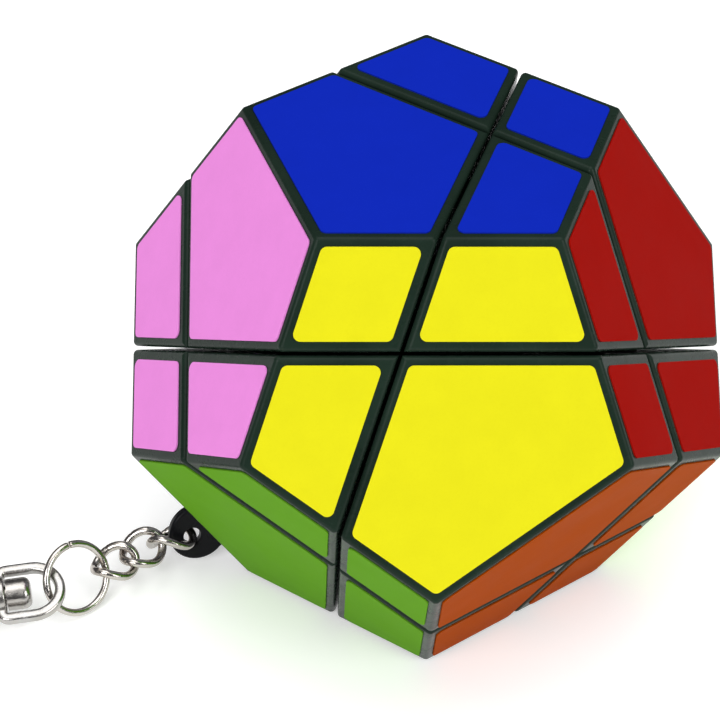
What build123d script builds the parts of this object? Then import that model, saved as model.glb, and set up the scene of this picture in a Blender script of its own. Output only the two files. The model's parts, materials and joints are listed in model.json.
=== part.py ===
from build123d import *
import math
import os

# Keychain twisty puzzle: a regular dodecahedron cut by four planes through its
# centre into 8 corner pieces and 6 edge pieces, on a core with four sprung
# screws, with a lug, three curb links, a jump ring and a swivel trigger clasp.
# Units are mm. The origin is the middle of the face that it rests on, +Z up.

# ---- Driving dimensions: puzzle
ACROSS_FLATS = 45.0  # over the stickers
STICKER = 0.12  # thickness
CUT_GAP = 0.3  # open width of a cut
EDGE_ROUND = 0.45
WALL = 1.5
EDGE_INSET = 0.75  # sticker to the dodecahedron's own edge
CUT_INSET = 1.0  # sticker to the middle of a cut
STICKER_ROUND = 0.6

# ---- Driving dimensions: mechanism, as radii from the puzzle's centre
HUB_R = 7.7
CORNER_FOOT = (8.0, 11.0)
EDGE_FOOT = (11.3, 13.3)
AXLE_DISC = (13.6, 15.6)
SHELL_INNER = 15.9
PLATE_TOP = 17.4
BASE_TOP = 17.8  # flat joint between an axle corner's base and its cap
CORNER_FOOT_ANGLE = 25.5
AXLE_DISC_ANGLE = 28.0
EDGE_FOOT_ANGLE = 42.0
CORNER_STEM_R = 2.3
EDGE_STEM_R = 3.0
POST_R = 1.6
POST_TOP = 13.3
SCREW_R = 0.8
SCREW_TIP = 5.0
SCREW_HEAD_R = 1.8
SCREW_HEAD = 1.2
SCREW_HOLE_R = 0.9
WASHER = 0.4
WASHER_R = 2.2
POCKET_R = 2.6
POCKET_FLOOR = 14.7
SPIGOT_R = 4.0
SPIGOT = 0.9
SPRING_WIRE_R = 0.2
SPRING_R = 1.6
SPRING_TURNS = 4.5

# ---- Driving dimensions: lug and chain
LUG_ALONG = -5.0  # hole, along the face's edge from its middle
LUG_ACROSS = 1.6  # hole, from that edge into the face
LUG_HEIGHT = 3.25  # hole, above the face
LUG_R = 2.75
LUG_HOLE_R = 0.82
LUG_OFFSET = 0.65  # rim circle's centre, below the hole
LUG_THICK = 1.0
LUG_ROOT = 0.9  # depth of its root in the edge piece
LUG_ROOT_WIDTH = 2.6
LUG_LEAN = (-0.3, 0.93, -0.24)  # direction of the hole's axis
LINK_LENGTH = 4.85
LINK_WIDTH = 4.1
LINK_WIRE = 0.8
LINK_TWIST = 40.0  # each end, from the link's middle
LINK_ROLLS = (112.0, 69.0, 77.0)  # each link's width at its middle, from straight up
LINK_SLACK = 0.3
LINK_SEAT = 0.05  # first link's end, past the middle of the lug's hole
EYE_SLACK = 0.3
RING_SLACK = 0.35
RING_OUTER = 7.0
RING_WIRE = 0.7
HEADINGS = (20.0, 36.0, 28.0, 37.0)  # links and ring, from -X towards -Y
HEIGHTS = (3.5, 3.1, 3.0, 3.35)  # after each link, then the ring's middle
RING_LEAN = (0.0, 0.6, 0.8)

# ---- Driving dimensions: swivel eye and clasp
CLASP_HEADING = 7.0
CLASP_DIP = 4.0
EYE_LEAN = (0.0, 0.96, 0.27)
EYE_HALF = 2.5  # half width to the middle of the strap
EYE_STRAIGHT = 2.9
EYE_STRAP = 1.0
EYE_BOSS_R = 1.8
RIVET_R = 0.8
RIVET_HEAD_R = 1.45
RIVET_HEAD = 2.2
RIVET_HOLE_R = 0.87
BARREL_R = 1.9
BARREL_LENGTH = 4.4
BARREL_START = 0.85  # from the middle of the eye's bar
SHOULDER_END = 8.2
HOOK_R = 4.0  # middle line of the bow
HOOK_STOCK = 2.2
HOOK_THICK = 2.4
HOOK_END = 16.0  # centre of the bow
LEVER_PIN_S = 7.4
LEVER_PIN_T = -3.1
LEVER_EYE_R = 1.15
LEVER_SPRING_R = 0.75
LEVER_SPRING_WIRE = 0.1
LEVER_PIN_R = 0.45
LEVER_THICK = 1.1
LEVER_SLOT = 1.4

PHI = (1 + math.sqrt(5)) / 2
INRADIUS = ACROSS_FLATS / 2
PLASTIC = INRADIUS - STICKER
CENTRE = Vector(0, 0, INRADIUS)

# ---- Directions. The cut planes belong to a cube set in the dodecahedron; row()
# turns that cube's axes so that one face looks straight up and another, tilted
# up, looks to the front.
UP = Vector(PHI, -1, 0).normalized()
FRONT_FACE = Vector(1, 0, PHI).normalized()
BACK = (UP * FRONT_FACE.dot(UP) - FRONT_FACE).normalized()
RIGHT = BACK.cross(UP)


def row(x, y, z):
    v = Vector(x, y, z)
    return Vector(RIGHT.dot(v), BACK.dot(v), UP.dot(v))


AXLES = [row(*v).normalized() for v in ((1, 1, 1), (1, -1, -1), (-1, 1, -1), (-1, -1, 1))]
EDGE_DIRS = [row(*v) for v in ((1, 0, 0), (-1, 0, 0), (0, 1, 0), (0, -1, 0), (0, 0, 1), (0, 0, -1))]
TURNING = AXLES[1]

FACES = []
for s in (1, -1):
    for t in (1, -1):
        FACES.append(row(s, 0, t * PHI).normalized())
        FACES.append(row(s * PHI, t, 0).normalized())
        FACES.append(row(0, s * PHI, t).normalized())

CORNERS = []
for s in (1, -1):
    for t in (1, -1):
        CORNERS += [row(0, s / PHI, t * PHI), row(s / PHI, t * PHI, 0), row(s * PHI, 0, t / PHI)]
        CORNERS += [row(s, t, 1), row(s, t, -1)]
SCALE = INRADIUS / max(FACES[0].dot(v) for v in CORNERS)
CORNERS = [v * SCALE for v in CORNERS]

# Colour of each face, found by the direction that it looks in.
COLOURS = {
    "blue": (0, 0, 1),
    "yellow": (0, -0.894, 0.447),
    "pink": (-0.851, -0.276, 0.447),
    "red": (0.851, -0.276, 0.447),
    "green": (-0.526, -0.724, -0.447),
    "orange": (0.526, -0.724, -0.447),
    "white": (0, 0, -1),
    "purple": (0, 0.894, -0.447),
    "lime": (0.851, 0.276, -0.447),
    "grey": (-0.851, 0.276, -0.447),
    "cyan": (0.526, 0.724, 0.447),
    "cream": (-0.526, 0.724, 0.447),
}


def face_of(colour):
    look = Vector(*COLOURS[colour])
    return max(FACES, key=lambda n: n.dot(look))


def signs_of(direction):
    return [1 if direction.dot(a) > 0 else -1 for a in AXLES]


def at(direction, distance=0.0):
    return Plane(origin=CENTRE + direction * distance, z_dir=direction)


# ---- Puzzle pieces


def keep_side(solid, normal, distance):
    """The part of a solid that is beyond a plane at a distance from the centre."""
    plane = Plane(origin=CENTRE + normal * distance, z_dir=normal)
    return split(solid, bisect_by=plane, keep=Keep.TOP)


def in_cell(solid, direction, inset):
    """The part of a solid inside a piece's cut planes, moved in by an inset."""
    for axle, sign in zip(AXLES, signs_of(direction)):
        solid = keep_side(solid, axle * sign, inset)
    return solid


def dodecahedron(inradius):
    solid = Location(CENTRE) * Box(80, 80, 80)
    for n in FACES:
        solid = keep_side(solid, n * -1, -inradius)
    return solid


def ball(radius):
    return Location(CENTRE) * Sphere(radius)


def outer_edges(solid):
    return [e for e in solid.edges() if min((v.center() - CENTRE).length for v in e.vertices()) > 20]


def rounded_piece(direction):
    """One piece's full outside, down to the centre, with its outer edges rounded."""
    solid = in_cell(dodecahedron(PLASTIC), direction, CUT_GAP / 2)
    return fillet(outer_edges(solid), EDGE_ROUND)


def hollow_shell(direction):
    cavity = in_cell(dodecahedron(PLASTIC - WALL), direction, CUT_GAP / 2 + WALL)
    return rounded_piece(direction) - ball(SHELL_INNER) - cavity


def layer(direction, radii, angle):
    """A slice of a spherical layer, within an angle of a direction."""
    low, high = radii
    half = math.radians(angle / 2)
    full = math.radians(angle)
    with BuildPart() as part:
        with BuildSketch(Plane.XZ):
            with BuildLine():
                Line((0, low), (0, high))
                ThreePointArc(
                    (0, high),
                    (high * math.sin(half), high * math.cos(half)),
                    (high * math.sin(full), high * math.cos(full)),
                )
                Line(
                    (high * math.sin(full), high * math.cos(full)),
                    (low * math.sin(full), low * math.cos(full)),
                )
                ThreePointArc(
                    (low * math.sin(full), low * math.cos(full)),
                    (low * math.sin(half), low * math.cos(half)),
                    (0, low),
                )
            make_face()
        revolve(axis=Axis.Z)
    return at(direction).location * part.part


def rod(direction, radius, low, high):
    """A cylinder on a direction through the centre, between two distances."""
    lift = Pos(0, 0, (low + high) / 2)
    return at(direction).location * lift * Cylinder(radius, high - low)


def foot_plate(direction):
    plate = in_cell(ball(PLATE_TOP), direction, CUT_GAP / 2 + WALL + 0.02)
    return plate - ball(SHELL_INNER + 0.1)


def corner_foot(direction):
    foot = layer(direction, CORNER_FOOT, CORNER_FOOT_ANGLE)
    stem = rod(direction, CORNER_STEM_R, CORNER_FOOT[1] - 0.5, SHELL_INNER + 0.8)
    return foot + stem + foot_plate(direction)


def edge_foot(direction):
    foot = in_cell(layer(direction, EDGE_FOOT, EDGE_FOOT_ANGLE), direction, CUT_GAP / 2)
    stem = rod(direction, EDGE_STEM_R, EDGE_FOOT[1] - 0.5, SHELL_INNER + 0.8)
    return foot + stem + foot_plate(direction)


def axle_base(direction):
    """The inner half of an axle corner: disc, body and the spring's pocket."""
    body = rounded_piece(direction) - ball(AXLE_DISC[0] + 1)
    body = keep_side(body, direction * -1, -BASE_TOP)
    body += layer(direction, AXLE_DISC, AXLE_DISC_ANGLE)
    body -= rod(direction, SCREW_HOLE_R, 12, BASE_TOP + 1)
    body -= rod(direction, POCKET_R, POCKET_FLOOR, BASE_TOP + 1)
    return body - rod(direction, SPIGOT_R + 0.03, BASE_TOP - SPIGOT - 0.1, BASE_TOP + 1)


def axle_cap(direction):
    """The outer half of an axle corner, with a spigot and room for the screw."""
    body = keep_side(rounded_piece(direction), direction, BASE_TOP)
    body += rod(direction, SPIGOT_R, BASE_TOP - SPIGOT, BASE_TOP + 0.5)
    return body - rod(direction, POCKET_R + 0.3, BASE_TOP - 2, BASE_TOP + 2.4)


def core():
    solid = ball(HUB_R)
    for d in AXLES:
        solid += rod(d, POST_R, 5, POST_TOP)
    for d in AXLES:
        solid -= rod(d, SCREW_R + 0.02, SCREW_TIP - 0.4, POST_TOP + 1)
    return solid


def axle_screw(direction):
    seat = BASE_TOP + WASHER
    solid = rod(direction, SCREW_R, SCREW_TIP, seat + 0.2)
    solid += rod(direction, SCREW_HEAD_R, seat, seat + SCREW_HEAD)
    place = at(direction, seat + SCREW_HEAD).location
    return solid - place * Box(2.2, 0.5, 1.2) - place * Box(0.5, 2.2, 1.2)


def washer(direction):
    ring = rod(direction, WASHER_R, BASE_TOP, BASE_TOP + WASHER)
    return ring - rod(direction, SCREW_R + 0.03, BASE_TOP - 1, BASE_TOP + 2)


def axle_spring(direction):
    low = POCKET_FLOOR + 0.1 + SPRING_WIRE_R
    high = BASE_TOP - 0.1 - SPRING_WIRE_R
    path = Helix(pitch=(high - low) / SPRING_TURNS, height=high - low, radius=SPRING_R)
    start = Plane(origin=path @ 0, z_dir=path % 0)
    coil = sweep(start * Circle(SPRING_WIRE_R), path=path, is_frenet=True)
    return at(direction, low).location * coil


# ---- Stickers


def clip(points, normal, distance):
    """A convex outline cut to the points that are beyond a plane."""
    kept = []
    for a, b in zip(points, points[1:] + points[:1]):
        da = a.dot(normal) - distance
        db = b.dot(normal) - distance
        if da >= 0:
            kept.append(a)
        if (da >= 0) != (db >= 0):
            kept.append(a + (b - a) * (da / (da - db)))
    return kept


def face_outline(normal, inset):
    """A face's five corners in order round it, moved in from its edges."""
    corners = [v for v in CORNERS if v.dot(normal) > INRADIUS - 0.01]
    across = (corners[0] - normal * INRADIUS).normalized()
    side = normal.cross(across)
    corners.sort(key=lambda v: math.atan2(v.dot(side), v.dot(across)))
    points = corners
    for a, b in zip(corners, corners[1:] + corners[:1]):
        inward = normal.cross(b - a).normalized()
        points = clip(points, inward, a.dot(inward) + inset)
    return points


def sticker(face, piece):
    """The sticker of one piece on one face, or None where they don't meet."""
    points = face_outline(face, EDGE_INSET)
    for axle, sign in zip(AXLES, signs_of(piece)):
        inward = axle * sign
        slope = inward.cross(face).length
        points = clip(points, inward, CUT_INSET * slope)
        if len(points) < 3:
            return None
    lower = [CENTRE + p - face * STICKER for p in points]
    outline = Face(Wire.make_polygon(lower, close=True))
    outline = outline.fillet_2d(STICKER_ROUND, outline.vertices())
    return extrude(outline, amount=STICKER, dir=face)


# ---- Lug

LUG_FACE = face_of("grey")
LUG_EDGE = [v for v in CORNERS if min(v.dot(LUG_FACE), v.dot(face_of("green"))) > INRADIUS - 0.01]
LUG_EDGE.sort(key=lambda v: v.Z)
ALONG = (LUG_EDGE[1] - LUG_EDGE[0]).normalized()
ACROSS = ALONG.cross(LUG_FACE)
if ACROSS.dot(LUG_EDGE[0]) > 0:
    ACROSS = ACROSS * -1
LUG_FOOT = CENTRE + (LUG_EDGE[0] + LUG_EDGE[1]) * 0.5 + ALONG * LUG_ALONG + ACROSS * LUG_ACROSS
LUG_HOLE = LUG_FOOT + LUG_FACE * LUG_HEIGHT
# The tab leans: it holds the first link's direction, and turns its flat side up.
LUG_AXIS = Vector(*LUG_LEAN).normalized()
LUG_OUT = (LUG_FACE - LUG_AXIS * LUG_FACE.dot(LUG_AXIS)).normalized()
LUG_REACH = LUG_HEIGHT / LUG_OUT.dot(LUG_FACE)
LUG_PLANE = Plane(origin=LUG_HOLE, x_dir=LUG_OUT, z_dir=LUG_AXIS)


def lug_root(margin):
    """The lug's root, sunk in the edge piece, a margin larger all round."""
    top = -LUG_REACH + 1.5
    bottom = -LUG_REACH - STICKER - LUG_ROOT - margin
    shape = Pos((top + bottom) / 2, 0) * Rectangle(top - bottom, LUG_ROOT_WIDTH + 2 * margin)
    return extrude(LUG_PLANE * shape, amount=LUG_THICK / 2 + margin, both=True)


def lug():
    """A round tab standing on its face, with a hole eased at both mouths."""
    height = LUG_REACH - LUG_OFFSET + 1
    tab = LUG_PLANE.location * Pos(-LUG_OFFSET, 0, 0) * Cylinder(LUG_R, LUG_THICK)
    tab = fillet(tab.edges().filter_by(GeomType.CIRCLE), 0.3)
    neck = Pos(-LUG_OFFSET - height / 2, 0) * Rectangle(height, 2 * LUG_R - 0.7)
    tab += extrude(LUG_PLANE * neck, amount=LUG_THICK / 2, both=True)
    tab = keep_side(tab, LUG_FACE, INRADIUS + 0.02)
    tab += lug_root(0)
    tab -= LUG_PLANE.location * Cylinder(LUG_HOLE_R, 4)
    mouths = [e for e in tab.edges().filter_by(GeomType.CIRCLE) if abs(e.radius - LUG_HOLE_R) < 0.01]
    return fillet(mouths, 0.25)


# ---- Chain


def heading(degrees, rise=0.0):
    angle = math.radians(degrees)
    return Vector(-math.cos(angle), -math.sin(angle), rise).normalized()


def square_to(direction, v):
    """The part of a vector that is at right angles to a direction."""
    return (v - direction * v.dot(direction)).normalized()


LINK_REACH = LINK_LENGTH / 2 - LINK_WIRE / 2
LINK_SPAN = LINK_WIDTH / 2 - LINK_WIRE / 2
HALF_GRIP = (LINK_WIRE + LINK_SLACK) / 2

# Where each piece hooks on the one before: the lug's hole, then each link's end.
HOOKS = [LUG_HOLE]
LINK_DIRS = []
for n in range(3):
    length = 2 * LINK_REACH - HALF_GRIP - (LINK_SEAT if n == 0 else HALF_GRIP)
    flat = heading(HEADINGS[n])
    run = math.sqrt(length**2 - (HEIGHTS[n] - HOOKS[-1].Z) ** 2)
    end = HOOKS[-1] + flat * run
    HOOKS.append(Vector(end.X, end.Y, HEIGHTS[n]))
    LINK_DIRS.append((HOOKS[-1] - HOOKS[-2]).normalized())

RING_MEAN = (RING_OUTER - RING_WIRE) / 2
RING_DIR = heading(HEADINGS[3], (HEIGHTS[3] - HOOKS[3].Z) / RING_MEAN)
RING_CENTRE = HOOKS[3] + RING_DIR * (RING_MEAN - (RING_WIRE + RING_SLACK) / 2)
RING_UP = square_to(RING_DIR, Vector(*RING_LEAN))
EYE_HOOK = RING_CENTRE + RING_DIR * RING_MEAN


def link_frames():
    """Each link's middle, its direction and the way its width points there."""
    frames = []
    for n, run in enumerate(LINK_DIRS):
        back = LINK_SEAT if n == 0 else HALF_GRIP
        middle = HOOKS[n] + run * (LINK_REACH - back)
        wide = square_to(run, Vector(0, 0, 1)).rotate(Axis((0, 0, 0), run), LINK_ROLLS[n])
        frames.append((middle, run, wide))
    return frames


def link(middle, run, wide):
    """A curb link: an oval loop twisted about its own length, swept in six spans."""
    deep = run.cross(wide)

    def place(angle):
        twist = math.radians(LINK_TWIST) * math.cos(angle)
        across = wide * math.cos(twist) + deep * math.sin(twist)
        return middle + run * (LINK_REACH * math.cos(angle)) + across * (LINK_SPAN * math.sin(angle))

    def ahead(angle):
        return (place(angle + 0.0001) - place(angle - 0.0001)).normalized()

    spans = 6
    turn = 2 * math.pi / spans
    solid = None
    for n in range(spans):
        points = [place(turn * (n + k / 4)) for k in range(5)]
        path = Edge.make_spline(points, tangents=(ahead(turn * n), ahead(turn * (n + 1))))
        section = Plane(origin=path @ 0, z_dir=path % 0) * Circle(LINK_WIRE / 2)
        span = sweep(section, path=path)
        solid = span if solid is None else solid + span
    return solid


def jump_ring():
    """An open ring; its ends almost meet at the top."""
    frame = Plane(origin=RING_CENTRE, x_dir=RING_UP, z_dir=RING_UP.cross(RING_DIR))
    ring = frame.location * Torus(RING_MEAN, RING_WIRE / 2)
    slit = frame.location * Pos(RING_MEAN, 0, 0) * Box(2, 0.12, 2)
    return ring - slit


# ---- Swivel eye and clasp

CLASP_DIR = heading(CLASP_HEADING, -math.tan(math.radians(CLASP_DIP)))
EYE_WIDE = square_to(CLASP_DIR, Vector(*EYE_LEAN))
EYE_END = EYE_STRAIGHT + EYE_HALF
EYE_BAR = EYE_HOOK + CLASP_DIR * (EYE_END - (EYE_STRAP + RING_WIRE) / 2 - EYE_SLACK)
CLASP_UP = square_to(CLASP_DIR, Vector(0, 0, 1))
CLASP_SIDE = CLASP_UP.cross(CLASP_DIR)
EYE_PLANE = Plane(origin=EYE_BAR, x_dir=CLASP_DIR * -1, z_dir=(CLASP_DIR * -1).cross(EYE_WIDE))
# Clasp sketches: X runs away from the eye, Y to the lever's far side, Z up.
CLASP_PLANE = Plane(origin=EYE_BAR, x_dir=CLASP_DIR, z_dir=CLASP_UP)


def along_clasp(radius, low, high):
    frame = Plane(origin=EYE_BAR + CLASP_DIR * ((low + high) / 2), z_dir=CLASP_DIR)
    return frame.location * Cylinder(radius, high - low)


def swivel_eye():
    """A D-shaped loop of strap, with a boss on its bar for the rivet."""
    outer = EYE_HALF + EYE_STRAP / 2
    inner = EYE_HALF - EYE_STRAP / 2
    shape = Pos(EYE_STRAIGHT, 0) * Circle(outer)
    shape += Pos((EYE_STRAIGHT - EYE_STRAP / 2) / 2, 0) * Rectangle(EYE_STRAIGHT + EYE_STRAP / 2, 2 * outer)
    shape -= Pos(EYE_STRAIGHT, 0) * Circle(inner)
    shape -= Pos((EYE_STRAIGHT + EYE_STRAP / 2) / 2, 0) * Rectangle(EYE_STRAIGHT - EYE_STRAP / 2, 2 * inner)
    loop = extrude(EYE_PLANE * shape, amount=EYE_STRAP / 2, both=True)
    loop = fillet(loop.edges(), 0.28)
    loop += along_clasp(EYE_BOSS_R, -EYE_STRAP / 2, EYE_STRAP / 2)
    return loop - along_clasp(RIVET_HOLE_R, -3, 3)


def swivel_rivet():
    """The peened rivet that the eye turns on; its far end is fast in the barrel."""
    under = -EYE_STRAP / 2 - 0.1
    shank = along_clasp(RIVET_R, under - 0.2, BARREL_START + 2.5)
    head = along_clasp(RIVET_HEAD_R, under - RIVET_HEAD, under)
    tip = head.edges().sort_by(Axis(tuple(EYE_BAR), tuple(CLASP_DIR)))[0]
    return shank + fillet(tip, 0.7)


def clasp_body():
    """Barrel, shoulder and bow in one casting, with a slot for the lever."""
    barrel = along_clasp(BARREL_R, BARREL_START, BARREL_START + BARREL_LENGTH)
    rims = barrel.edges().filter_by(GeomType.CIRCLE)
    barrel = fillet(rims, 0.4)
    outer = HOOK_R + HOOK_STOCK / 2
    inner = HOOK_R - HOOK_STOCK / 2
    start = BARREL_START + BARREL_LENGTH - 1.0
    points = ((start, -1.5), (start, 1.5), (SHOULDER_END - 1.6, outer), (SHOULDER_END, outer))
    points += ((SHOULDER_END, -outer), (SHOULDER_END - 1.6, -outer))
    shape = Polygon(*points, align=None)
    side = HOOK_END - SHOULDER_END
    shape += Pos(HOOK_END - side / 2, HOOK_R) * Rectangle(side, HOOK_STOCK)
    bow = Pos(HOOK_END, 0) * Circle(outer)
    bow -= Pos(HOOK_END, 0) * Circle(inner)
    bow -= Pos(HOOK_END - 5, 0) * Rectangle(10, 20)
    shape += bow
    shape += Pos(HOOK_END - 0.55, -HOOK_R) * Rectangle(1.1, HOOK_STOCK)
    plate = extrude(CLASP_PLANE * shape, amount=HOOK_THICK / 2, both=True)
    uprights = [e for e in plate.edges().filter_by(GeomType.LINE) if abs((e % 0).dot(CLASP_UP)) > 0.9]
    sharp = [e for e in uprights if e.length > HOOK_THICK - 0.1]
    plate = fillet(sharp, 0.45)
    rims = [e for e in plate.edges() if abs((e.center() - EYE_BAR).dot(CLASP_UP)) > HOOK_THICK / 2 - 0.01]
    plate = fillet(rims, 0.4)
    solid = plate + barrel
    slot = Pos(LEVER_PIN_S + 0.9, LEVER_PIN_T - 0.9, 0) * Box(6.2, 4.6, LEVER_SLOT)
    solid -= CLASP_PLANE.location * slot
    solid -= at_lever_pin(0) * Cylinder(LEVER_PIN_R + 0.01, 5)
    return solid - along_clasp(RIVET_R + 0.01, BARREL_START - 1, BARREL_START + 2.6)


def clasp_lever():
    """The sprung gate with its thumb piece; it swings into the bow."""
    low = -HOOK_R - HOOK_STOCK / 2 + 0.1
    high = -HOOK_R + HOOK_STOCK / 2 - 0.1
    tip = HOOK_END - 1.25
    shape = Polygon((LEVER_PIN_S, low), (LEVER_PIN_S, high), (tip, high), (tip - 0.3, low), align=None)
    shape += Polygon((9.0, low + 0.3), (9.7, low - 1.3), (10.8, low - 1.5), (12.6, low + 0.3), align=None)
    shape += Pos(LEVER_PIN_S, LEVER_PIN_T) * Circle(LEVER_EYE_R)
    solid = extrude(CLASP_PLANE * shape, amount=LEVER_THICK / 2, both=True)
    solid -= at_lever_pin(0.08 + LEVER_THICK / 2) * Cylinder(LEVER_EYE_R + 0.15, LEVER_THICK)
    return solid - at_lever_pin(0) * Cylinder(LEVER_PIN_R + 0.05, 5)


def lever_spring():
    """A torsion spring beside the lever's eye, with a leg on the lever."""
    solid = at_lever_pin(0.24) * Torus(LEVER_SPRING_R, LEVER_SPRING_WIRE)
    solid += at_lever_pin(0.42) * Torus(LEVER_SPRING_R, LEVER_SPRING_WIRE)
    leg = Pos(1.1, LEVER_SPRING_R, 0) * Rot(0, 90, 0) * Cylinder(LEVER_SPRING_WIRE, 2.6)
    solid += at_lever_pin(0.24) * leg
    leg = Pos(-0.4, LEVER_SPRING_R, 0) * Rot(0, 90, 0) * Cylinder(LEVER_SPRING_WIRE, 1.2)
    return solid + at_lever_pin(0.42) * leg


def at_lever_pin(height):
    return CLASP_PLANE.location * Pos(LEVER_PIN_S, LEVER_PIN_T, height)


def lever_pin():
    return at_lever_pin(0) * Cylinder(LEVER_PIN_R, HOOK_THICK)


# ---- Export


def export(shape, name):
    export_step(shape, "parts/" + name + ".step")


def group(solids, name):
    export(Compound(children=list(solids)), name)


os.makedirs("parts", exist_ok=True)


def export_puzzle():
    export(core(), "core")
    group([axle_screw(d) for d in AXLES], "axle_screws")
    group([washer(d) for d in AXLES], "axle_washers")
    group([axle_spring(d) for d in AXLES], "axle_springs")
    feet = {"upper": [], "lower": []}
    for n, d in enumerate(AXLES, 1):
        export(axle_base(d), f"axle_corner_base_{n}")
        export(axle_cap(d), f"axle_corner_cap_{n}")
        free = d * -1
        export(hollow_shell(free), f"free_corner_shell_{n}")
        export(corner_foot(free), f"free_corner_foot_{n}")
    for n, d in enumerate(EDGE_DIRS, 1):
        shell = hollow_shell(d)
        if d.dot(LUG_FACE) > 0.5 and d.dot(face_of("green")) > 0.5:
            shell -= lug_root(0.02)
        export(shell, f"edge_shell_{n}")
        half = "upper" if d.dot(TURNING) > 0 else "lower"
        feet[half].append(edge_foot(d))
    for half, solids in feet.items():
        group(solids, f"edge_feet_{half}")


def export_stickers():
    pieces = AXLES + [d * -1 for d in AXLES] + EDGE_DIRS
    for colour in COLOURS:
        halves = {"upper": [], "lower": []}
        for piece in pieces:
            one = sticker(face_of(colour), piece)
            if one is None:
                continue
            if colour == "grey":
                one -= lug_root(0.05)
            half = "upper" if piece.dot(TURNING) > 0 else "lower"
            halves[half].append(one)
        for half, solids in halves.items():
            if solids:
                group(solids, f"stickers_{colour}_{half}")


def export_chain():
    export(lug(), "lug")
    for n, frame in enumerate(link_frames(), 1):
        export(link(*frame), f"chain_link_{n}")
    export(jump_ring(), "jump_ring")
    export(swivel_eye(), "swivel_eye")
    export(swivel_rivet(), "swivel_rivet")
    export(clasp_body(), "clasp_body")
    export(clasp_lever(), "clasp_lever")
    export(lever_pin(), "lever_pin")
    export(lever_spring(), "lever_spring")


export_puzzle()
export_stickers()
export_chain()
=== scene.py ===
import json
import math

import bpy
from mathutils import Matrix, Vector

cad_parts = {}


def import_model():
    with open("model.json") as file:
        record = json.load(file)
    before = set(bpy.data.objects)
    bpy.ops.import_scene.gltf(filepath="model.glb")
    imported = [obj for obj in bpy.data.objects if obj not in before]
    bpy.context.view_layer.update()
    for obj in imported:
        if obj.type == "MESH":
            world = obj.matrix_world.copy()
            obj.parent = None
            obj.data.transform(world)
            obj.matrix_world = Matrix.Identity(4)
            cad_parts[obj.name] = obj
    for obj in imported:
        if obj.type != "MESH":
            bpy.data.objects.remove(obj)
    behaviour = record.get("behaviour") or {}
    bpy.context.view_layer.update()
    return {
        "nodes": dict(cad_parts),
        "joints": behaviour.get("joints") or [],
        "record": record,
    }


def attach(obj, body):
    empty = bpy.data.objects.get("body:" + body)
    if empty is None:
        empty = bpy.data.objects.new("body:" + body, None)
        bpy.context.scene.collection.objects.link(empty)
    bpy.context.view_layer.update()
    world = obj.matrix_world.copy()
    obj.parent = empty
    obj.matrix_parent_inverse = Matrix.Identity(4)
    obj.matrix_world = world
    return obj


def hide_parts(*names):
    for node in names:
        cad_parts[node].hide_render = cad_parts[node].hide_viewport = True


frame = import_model()
MM = 0.001

# ---- Camera: where it stands, which way it looks and how far it is rolled
CAMERA_PLACE = (-0.01130, -0.19895, 0.18130)
CAMERA_HEADING = 1.548  # degrees from +Y towards +X
CAMERA_DOWN = 38.832
CAMERA_ROLL = 0.967
CAMERA_LENS = 141.84  # mm, for the sensor below
CAMERA_SENSOR = 36
CAMERA_NEAR = 0.01

# ---- Floor and light
FLOOR_HALF = 1.5
FLOOR_COLOUR = (0.88, 0.88, 0.875)
FLOOR_GLOW = 0.37  # strength of the table top's own emission
LAMP_AIM = (0, 0, 0.02)
LAMPS = (  # name, place, size, watts
    ("key", (-0.45, -0.75, 0.62), (0.6, 0.5), 6.0),
    ("fill", (0.65, -0.55, 0.5), (0.5, 0.5), 4.0),
    ("top", (0.0, 0.05, 1.0), (0.8, 0.8), 4.0),
)
HORIZON = (0.10, 0.10, 0.105)  # up to the first height below
ZENITH = (1.0, 1.0, 1.0)  # from the second one
SKY_HEIGHTS = (0.72, 0.86)
WORLD_STRENGTH = 1.0

# ---- Finishes, linear RGB; the frame plastic holds a painted greenish light tint, the lug plastic painted shade
STICKERS = {
    "blue": (0.0045, 0.019, 0.39),
    "yellow": (0.60, 0.565, 0.0095),
    "pink": (0.735, 0.240, 0.645),
    "red": (0.292, 0.0035, 0.0015),
    "green": (0.101, 0.274, 0.0135),
    "orange": (0.308, 0.0485, 0.0005),
    "white": (0.82, 0.82, 0.80),
    "purple": (0.16, 0.035, 0.36),
    "lime": (0.42, 0.72, 0.09),
    "grey": (0.32, 0.33, 0.35),
    "cyan": (0.08, 0.46, 0.72),
    "cream": (0.84, 0.72, 0.46),
}
# Black plastic of the frame: near black with a lighter greenish tint of painted light in its colour
PLASTIC_LIT_TINT = (0.0090, 0.0185, 0.0125)
INNER_PLASTIC = (0.02, 0.02, 0.021)
# The lug's plastic: the same black plastic, made darker and more neutral as painted shade
LUG_PLASTIC_PAINTED_SHADE = (0.0062, 0.0062, 0.0075)
NICKEL = (0.53, 0.505, 0.485)
CAST_NICKEL = (0.42, 0.41, 0.40)
STEEL = (0.56, 0.56, 0.57)
TARNISH = (0.82, 0.78, 0.72)  # share of each channel where a metal has dulled
STICKER_SHINE = 0.004
PLASTIC_SHINE = 0.08
FINE_GRAIN = 0.000006  # depths of the bumps, metres
COARSE_GRAIN = 0.00001
SCRATCH = 0.00001


# ---- Node helpers


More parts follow.
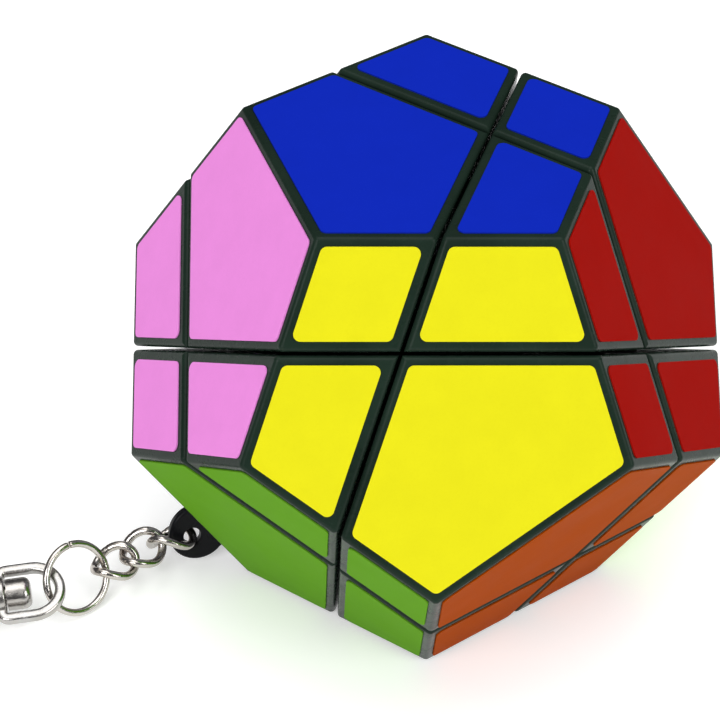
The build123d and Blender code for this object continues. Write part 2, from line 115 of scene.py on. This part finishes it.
class Look:
    """A material with its shader, and short calls that add and join nodes."""

    def __init__(self, name):
        self.material = bpy.data.materials.new(name)
        self.material.use_nodes = True
        self.tree = self.material.node_tree
        self.shader = self.tree.nodes["Principled BSDF"]
        self.place = self.node("ShaderNodeTexCoord").outputs["Object"]

    def node(self, kind, **values):
        made = self.tree.nodes.new(kind)
        for key, value in values.items():
            setattr(made, key, value)
        return made

    def join(self, source, target):
        self.tree.links.new(source, target)

    def set(self, **values):
        for key, value in values.items():
            self.shader.inputs[key.replace("_", " ")].default_value = value

    def noise(self, scale, detail=2.0, rough=0.5, stretch=None):
        made = self.node("ShaderNodeTexNoise")
        made.inputs["Scale"].default_value = scale
        made.inputs["Detail"].default_value = detail
        made.inputs["Roughness"].default_value = rough
        source = self.place
        if stretch:
            mapping = self.node("ShaderNodeMapping")
            mapping.inputs["Scale"].default_value = stretch
            self.join(source, mapping.inputs["Vector"])
            source = mapping.outputs["Vector"]
        self.join(source, made.inputs["Vector"])
        return made.outputs["Fac"]

    def spread(self, source, low, high, start=0.0, end=1.0):
        made = self.node("ShaderNodeMapRange")
        made.inputs["From Min"].default_value = start
        made.inputs["From Max"].default_value = end
        made.inputs["To Min"].default_value = low
        made.inputs["To Max"].default_value = high
        self.join(source, made.inputs["Value"])
        return made.outputs["Result"]

    def blend(self, factor, first, second):
        made = self.node("ShaderNodeMix", data_type="RGBA")
        self.join(factor, made.inputs["Factor"])
        for socket, value in ((made.inputs[6], first), (made.inputs[7], second)):
            if isinstance(value, tuple):
                socket.default_value = (*value, 1.0)
            else:
                self.join(value, socket)
        return made.outputs[2]

    def bump(self, height, distance, after=None):
        made = self.node("ShaderNodeBump")
        made.inputs["Distance"].default_value = distance
        self.join(height, made.inputs["Height"])
        if after:
            self.join(after, made.inputs["Normal"])
        return made.outputs["Normal"]


def shade(colour, factor):
    return tuple(min(1.0, c * factor) for c in colour)


def sticker_look(name, colour):
    """Satin vinyl film: even colour, a faint print mottle and orange peel."""
    look = Look("sticker_" + name)
    mottle = look.spread(look.noise(320, detail=3, rough=0.6), 0, 1, start=0.35, end=0.65)
    body = look.blend(mottle, shade(colour, 0.985), shade(colour, 1.015))
    grain = look.spread(look.noise(5200), 0, 0.2, start=0.5, end=0.75)
    look.join(look.blend(grain, body, shade(colour, 0.9)), look.shader.inputs["Base Color"])
    haze = look.spread(look.noise(150, detail=3, rough=0.6), 0.40, 0.50, start=0.3, end=0.7)
    look.join(haze, look.shader.inputs["Roughness"])
    peel = look.bump(look.noise(1500), 0.000006)
    look.join(peel, look.shader.inputs["Normal"])
    look.set(Specular_IOR_Level=STICKER_SHINE)
    return look.material


def plastic_look(name, colour, low, high, grain):
    """Moulded ABS: near black, a faint grain, flow marks and handling haze."""
    look = Look(name)
    cloud = look.spread(look.noise(120, detail=4, rough=0.6), 0, 1, start=0.3, end=0.7)
    base = look.blend(cloud, shade(colour, 0.8), shade(colour, 1.35))
    look.join(base, look.shader.inputs["Base Color"])
    haze = look.spread(look.noise(420, detail=4, rough=0.65), low, high, start=0.3, end=0.7)
    look.join(haze, look.shader.inputs["Roughness"])
    fine = look.bump(look.noise(4200, detail=3, rough=0.6), grain)
    flow = look.bump(look.noise(160), 0.00002, after=fine)
    look.join(flow, look.shader.inputs["Normal"])
    look.set(Specular_IOR_Level=PLASTIC_SHINE)
    return look.material


def metal_look(name, colour, low, high, scratch, dent):
    """Plated or bright metal with fine drawing marks and a little tarnish."""
    look = Look(name)
    tarnish = look.spread(look.noise(380, detail=4, rough=0.6), 0, 1, start=0.35, end=0.75)
    warm = tuple(c * share for c, share in zip(colour, TARNISH))
    look.join(look.blend(tarnish, colour, warm), look.shader.inputs["Base Color"])
    worn = look.spread(look.noise(900, detail=4, rough=0.6), low, high, start=0.3, end=0.7)
    look.join(worn, look.shader.inputs["Roughness"])
    lines = look.bump(look.noise(2600, stretch=(1.0, 6.0, 3.0)), scratch)
    dents = look.bump(look.noise(520), dent, after=lines)
    look.join(dents, look.shader.inputs["Normal"])
    look.set(Metallic=1.0)
    return look.material


LOOKS = {"sticker_" + name: sticker_look(name, colour) for name, colour in STICKERS.items()}
# The frame's plastic colour holds a painted greenish light tint
LOOKS["black_plastic"] = plastic_look("black_plastic", PLASTIC_LIT_TINT, low=0.20, high=0.34, grain=FINE_GRAIN)
LOOKS["inner_plastic"] = plastic_look("inner_plastic", INNER_PLASTIC, low=0.42, high=0.60, grain=COARSE_GRAIN)
LOOKS["plated_wire"] = metal_look("plated_wire", NICKEL, 0.09, 0.20, SCRATCH, dent=0.00007)
LOOKS["plated_casting"] = metal_look("plated_casting", CAST_NICKEL, 0.13, 0.30, SCRATCH, dent=0.00009)
LOOKS["steel_fasteners"] = metal_look("steel_fasteners", STEEL, 0.22, 0.36, SCRATCH, dent=0.00002)


def dress(thing, look):
    """Give a piece one material, in place of what it had."""
    thing.data.materials.clear()
    thing.data.materials.append(look)


SLOTS = {part["node"]: part["material_slot"] for part in frame["record"]["subparts"]}
for node, thing in frame["nodes"].items():
    dress(thing, LOOKS[SLOTS[node]])
# The lug gets a darker copy of the black plastic: painted shade, not a different material
LUG_PAINTED_SHADE_LOOK = plastic_look("lug_plastic_painted_shade", LUG_PLASTIC_PAINTED_SHADE, low=0.20, high=0.34, grain=FINE_GRAIN)
dress(frame["nodes"]["lug"], LUG_PAINTED_SHADE_LOOK)


# ---- Chain and eye: finer meshes on the middle lines of the CAD solids; the eye has rounder corners

JOINTS = {joint["name"]: joint for joint in frame["joints"]}
LINK_LENGTH = 4.85 * MM
LINK_WIDTH = 4.1 * MM
LINK_WIRE = 0.8 * MM
LINK_TWIST = math.radians(40)
LINK_ROLLS = (112, 69, 77)  # degrees, each link's width at its middle, from straight up
LINK_SLACK = 0.3 * MM
LINK_SEAT = 0.05 * MM
LINK_REACH = (LINK_LENGTH - LINK_WIRE) / 2
LINK_SPAN = (LINK_WIDTH - LINK_WIRE) / 2
LINK_STEPS = 144
WELD_PLACE = 0.25  # of the way round the link
WELD_NICK = 0.07  # of the wire's radius
WELD_SPREAD = 0.8
WELD_REACH = 5  # steps
WIRE_SIDES = 28
RING_WIRE = 0.7 * MM
RING_SLACK = 0.35 * MM
RING_LEAN = Vector((0.0, 0.6, 0.8))
RING_SPLIT = 0.10 * MM  # half the opening between the ring's ends
RING_STEPS = 220
RING_END = 0.93  # of the wire's radius, at its cut ends
EYE_HALF = 2.5 * MM  # half the eye's width, to the middle of its strap
EYE_STRAIGHT = 2.9 * MM
EYE_STRAP = 0.99 * MM
EYE_CORNER = 0.62 * MM
EYE_BOSS_MEAN = 1.34 * MM
EYE_BOSS_WALL = 0.90 * MM
EYE_LEAN = Vector((0.0, 0.96, 0.27))
EYE_CORNER_STEPS = 12
EYE_SIDE_STEPS = 6
EYE_BOW_STEPS = 30
EYE_STRAP_SIDES = 40
EYE_STRAP_SQUARE = 0.68
EYE_BOSS_STEPS = 72
EYE_BOSS_SIDES = 36
EYE_BOSS_SQUARE = 0.4


def spot(joint):
    """Where a joint is, at rest."""
    return Vector(JOINTS[joint]["pos_m"])


def square_to(direction, v):
    """The unit vector nearest to v that is square to a direction."""
    return (v - direction * v.dot(direction)).normalized()


def add_mesh(name, points, faces, body, look, *nodes):
    """A smooth piece that rides on a body and stands for its CAD nodes."""
    mesh = bpy.data.meshes.new(name)
    mesh.from_pydata(points, [], faces)
    for face in mesh.polygons:
        face.use_smooth = True
    thing = bpy.data.objects.new(name, mesh)
    bpy.context.collection.objects.link(thing)
    dress(thing, LOOKS[look])
    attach(thing, body)
    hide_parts(*nodes)


def tube(middles, sections, closed):
    """Points and faces of a tube: one list of points for each place on its line."""
    sides = len(sections[0])
    count = len(middles)
    points = [p for section in sections for p in section]
    faces = []
    for k in range(count if closed else count - 1):
        here, there = k * sides, (k + 1) % count * sides
        for n in range(sides):
            after = (n + 1) % sides
            faces.append((here + n, here + after, there + after, there + n))
    if not closed:
        faces.append(tuple(range(sides))[::-1])
        faces.append(tuple(range((count - 1) * sides, count * sides)))
    return points, faces


def wire_sections(middles, radius, sides, closed, normal, square=1.0):
    """Sections square to a line: round, or nearer to a square where square is under 1."""

    def soft(value):
        return math.copysign(abs(value) ** square, value)

    count = len(middles)
    sections = []
    for k, middle in enumerate(middles):
        before = middles[k - 1] if closed or k else middles[0]
        after = middles[(k + 1) % count] if closed or k < count - 1 else middles[-1]
        ahead = (after - before).normalized()
        first = square_to(ahead, normal(k))
        second = ahead.cross(first)
        size = radius(k) if callable(radius) else radius
        turns = [2 * math.pi * n / sides for n in range(sides)]
        around = [first * soft(math.cos(a)) + second * soft(math.sin(a)) for a in turns]
        sections.append([middle + way * size for way in around])
    return sections


def curb_link(number, middle, run, wide):
    """An oval loop of round wire, twisted about its length, with its butt weld."""
    deep = run.cross(wide)
    middles = []
    for k in range(LINK_STEPS):
        a = 2 * math.pi * k / LINK_STEPS
        twist = LINK_TWIST * math.cos(a)
        across = wide * math.cos(twist) + deep * math.sin(twist)
        middles.append(middle + run * (LINK_REACH * math.cos(a)) + across * (LINK_SPAN * math.sin(a)))

    def radius(k):
        from_weld = abs((k / LINK_STEPS - WELD_PLACE + 0.5) % 1 - 0.5) * LINK_STEPS
        nick = WELD_NICK * math.exp(-(from_weld**2) / WELD_SPREAD) if from_weld < WELD_REACH else 0.0
        return LINK_WIRE / 2 * (1 - nick)

    def outward(k):
        return middles[k] - middle

    sections = wire_sections(middles, radius, WIRE_SIDES, True, outward)
    points, faces = tube(middles, sections, True)
    name, body, node = f"curb_link_{number}", f"link_{number}", f"chain_link_{number}"
    add_mesh(name, points, faces, body, "plated_wire", node)


def chain():
    """The three links, each from its own joint to the next one."""
    hooks = [spot("link_1_swing"), spot("link_2_swing"), spot("link_3_swing"), spot("ring_swing")]
    half_grip = (LINK_WIRE + LINK_SLACK) / 2
    for n in range(3):
        run = (hooks[n + 1] - hooks[n]).normalized()
        roll = Matrix.Rotation(math.radians(LINK_ROLLS[n]), 3, run)
        middle = hooks[n] + run * (LINK_REACH - (half_grip if n else LINK_SEAT))
        curb_link(n + 1, middle, run, roll @ square_to(run, Vector((0, 0, 1))))


def jump_ring():
    """A ring of round wire whose square-cut ends nearly meet at the top."""
    near, far = spot("ring_swing"), spot("eye_swing")
    run = (far - near).normalized()
    mean = ((far - near).length + (RING_WIRE + RING_SLACK) / 2) / 2
    middle = far - run * mean
    up = square_to(run, RING_LEAN)
    gap = RING_SPLIT / mean
    middles = []
    for k in range(RING_STEPS):
        a = gap + (2 * math.pi - 2 * gap) * k / (RING_STEPS - 1)
        middles.append(middle + (up * math.cos(a) + run * math.sin(a)) * mean)

    def radius(k):
        at_end = k in (0, RING_STEPS - 1)
        return RING_WIRE / 2 * (RING_END if at_end else 1.0)

    sections = wire_sections(middles, radius, WIRE_SIDES, False, lambda k: middles[k] - middle)
    points, faces = tube(middles, sections, False)
    add_mesh("jump_ring_wire", points, faces, "ring", "plated_wire", "jump_ring")


def eye_line():
    """The strap's middle line from the boss round the loop and back: pairs (along, across)."""
    half = [(0.0, EYE_BOSS_MEAN)]
    for k in range(EYE_CORNER_STEPS + 1):
        a = math.radians(90 / EYE_CORNER_STEPS * k)
        along = EYE_CORNER * (1 - math.cos(a))
        half.append((along, EYE_HALF - EYE_CORNER * (1 - math.sin(a))))
    side = EYE_STRAIGHT - EYE_CORNER
    half += [(EYE_CORNER + side * k / EYE_SIDE_STEPS, EYE_HALF) for k in range(1, EYE_SIDE_STEPS)]
    for k in range(EYE_BOW_STEPS + 1):
        a = math.radians(90 - 90 / EYE_BOW_STEPS * k)
        half.append((EYE_STRAIGHT + EYE_HALF * math.cos(a), EYE_HALF * math.sin(a)))
    return half + [(along, -across) for along, across in half[-2::-1]]


def swivel_eye():
    """The D-shaped eye: a loop of soft-edged strap and the boss that its ends run into."""
    bar = spot("clasp_swivel")
    back = -Vector(JOINTS["clasp_swivel"]["axis"]).normalized()
    wide = square_to(back, EYE_LEAN)
    flat = back.cross(wide)
    middles = [bar + back * along + wide * across for along, across in eye_line()]
    half = EYE_STRAP / 2
    sections = wire_sections(middles, half, EYE_STRAP_SIDES, False, lambda k: flat, EYE_STRAP_SQUARE)
    points, faces = tube(middles, sections, False)
    add_mesh("eye_strap", points, faces, "eye", "plated_casting", "swivel_eye")
    turns = [2 * math.pi * k / EYE_BOSS_STEPS for k in range(EYE_BOSS_STEPS)]
    middles = [bar + (wide * math.cos(a) + flat * math.sin(a)) * EYE_BOSS_MEAN for a in turns]
    half = EYE_BOSS_WALL / 2

    def outward(k):
        return middles[k] - bar

    sections = wire_sections(middles, half, EYE_BOSS_SIDES, True, outward, EYE_BOSS_SQUARE)
    points, faces = tube(middles, sections, True)
    add_mesh("eye_boss", points, faces, "eye", "plated_casting", "swivel_eye")


chain()
jump_ring()
swivel_eye()

# ---- Room: floor, lights, camera


def floor():
    """A pale table top, far wider than the view."""
    half = FLOOR_HALF
    points = [(-half, -half, 0), (half, -half, 0), (half, half, 0), (-half, half, 0)]
    mesh = bpy.data.meshes.new("floor")
    mesh.from_pydata(points, [], [(0, 1, 2, 3)])
    thing = bpy.data.objects.new("floor", mesh)
    bpy.context.collection.objects.link(thing)
    look = Look("floor")
    tone = look.spread(look.noise(3), 0, 1, start=0.3, end=0.7)
    base = look.blend(tone, shade(FLOOR_COLOUR, 0.99), FLOOR_COLOUR)
    look.join(base, look.shader.inputs["Base Color"])
    look.set(Emission_Color=(*FLOOR_COLOUR, 1.0), Emission_Strength=FLOOR_GLOW)
    look.set(Roughness=0.7, Specular_IOR_Level=0.1)
    dress(thing, look.material)


def lamp(name, place, size, power):
    """A soft rectangular light that points at the object."""
    data = bpy.data.lights.new(name, "AREA")
    data.shape = "RECTANGLE"
    data.size, data.size_y = size
    data.energy = power
    thing = bpy.data.objects.new(name, data)
    thing.location = place
    thing.rotation_euler = (Vector(LAMP_AIM) - Vector(place)).to_track_quat("-Z", "Y").to_euler()
    bpy.context.collection.objects.link(thing)


def world():
    """A dark room under a wide white ceiling light."""
    made = bpy.data.worlds.new("studio")
    made.use_nodes = True
    tree = made.node_tree
    back = tree.nodes["Background"]
    place = tree.nodes.new("ShaderNodeTexCoord")
    split = tree.nodes.new("ShaderNodeSeparateXYZ")
    ramp = tree.nodes.new("ShaderNodeValToRGB")
    ramp.color_ramp.elements[0].position = SKY_HEIGHTS[0]
    ramp.color_ramp.elements[0].color = (*HORIZON, 1)
    ramp.color_ramp.elements[1].position = SKY_HEIGHTS[1]
    ramp.color_ramp.elements[1].color = (*ZENITH, 1)
    tree.links.new(place.outputs["Generated"], split.inputs["Vector"])
    tree.links.new(split.outputs["Z"], ramp.inputs["Fac"])
    tree.links.new(ramp.outputs["Color"], back.inputs["Color"])
    back.inputs["Strength"].default_value = WORLD_STRENGTH
    bpy.context.scene.world = made


def camera():
    """The camera, from its place, heading, tilt and roll."""
    heading = math.radians(CAMERA_HEADING)
    down = math.radians(CAMERA_DOWN)
    roll = math.radians(CAMERA_ROLL)
    flat = math.cos(down)
    ahead = Vector((math.sin(heading) * flat, math.cos(heading) * flat, -math.sin(down)))
    level = Vector((math.cos(heading), -math.sin(heading), 0))
    above = level.cross(ahead)
    right = level * math.cos(roll) + above * math.sin(roll)
    up = right.cross(ahead)
    data = bpy.data.cameras.new("camera")
    data.lens = CAMERA_LENS
    data.sensor_width = CAMERA_SENSOR
    data.clip_start = CAMERA_NEAR
    thing = bpy.data.objects.new("camera", data)
    turn = Matrix((right, up, -ahead)).transposed().to_4x4()
    thing.matrix_world = Matrix.Translation(CAMERA_PLACE) @ turn
    bpy.context.collection.objects.link(thing)
    bpy.context.scene.camera = thing


floor()
world()
camera()
for lamp_values in LAMPS:
    lamp(*lamp_values)
bpy.context.scene.view_settings.view_transform = "Standard"
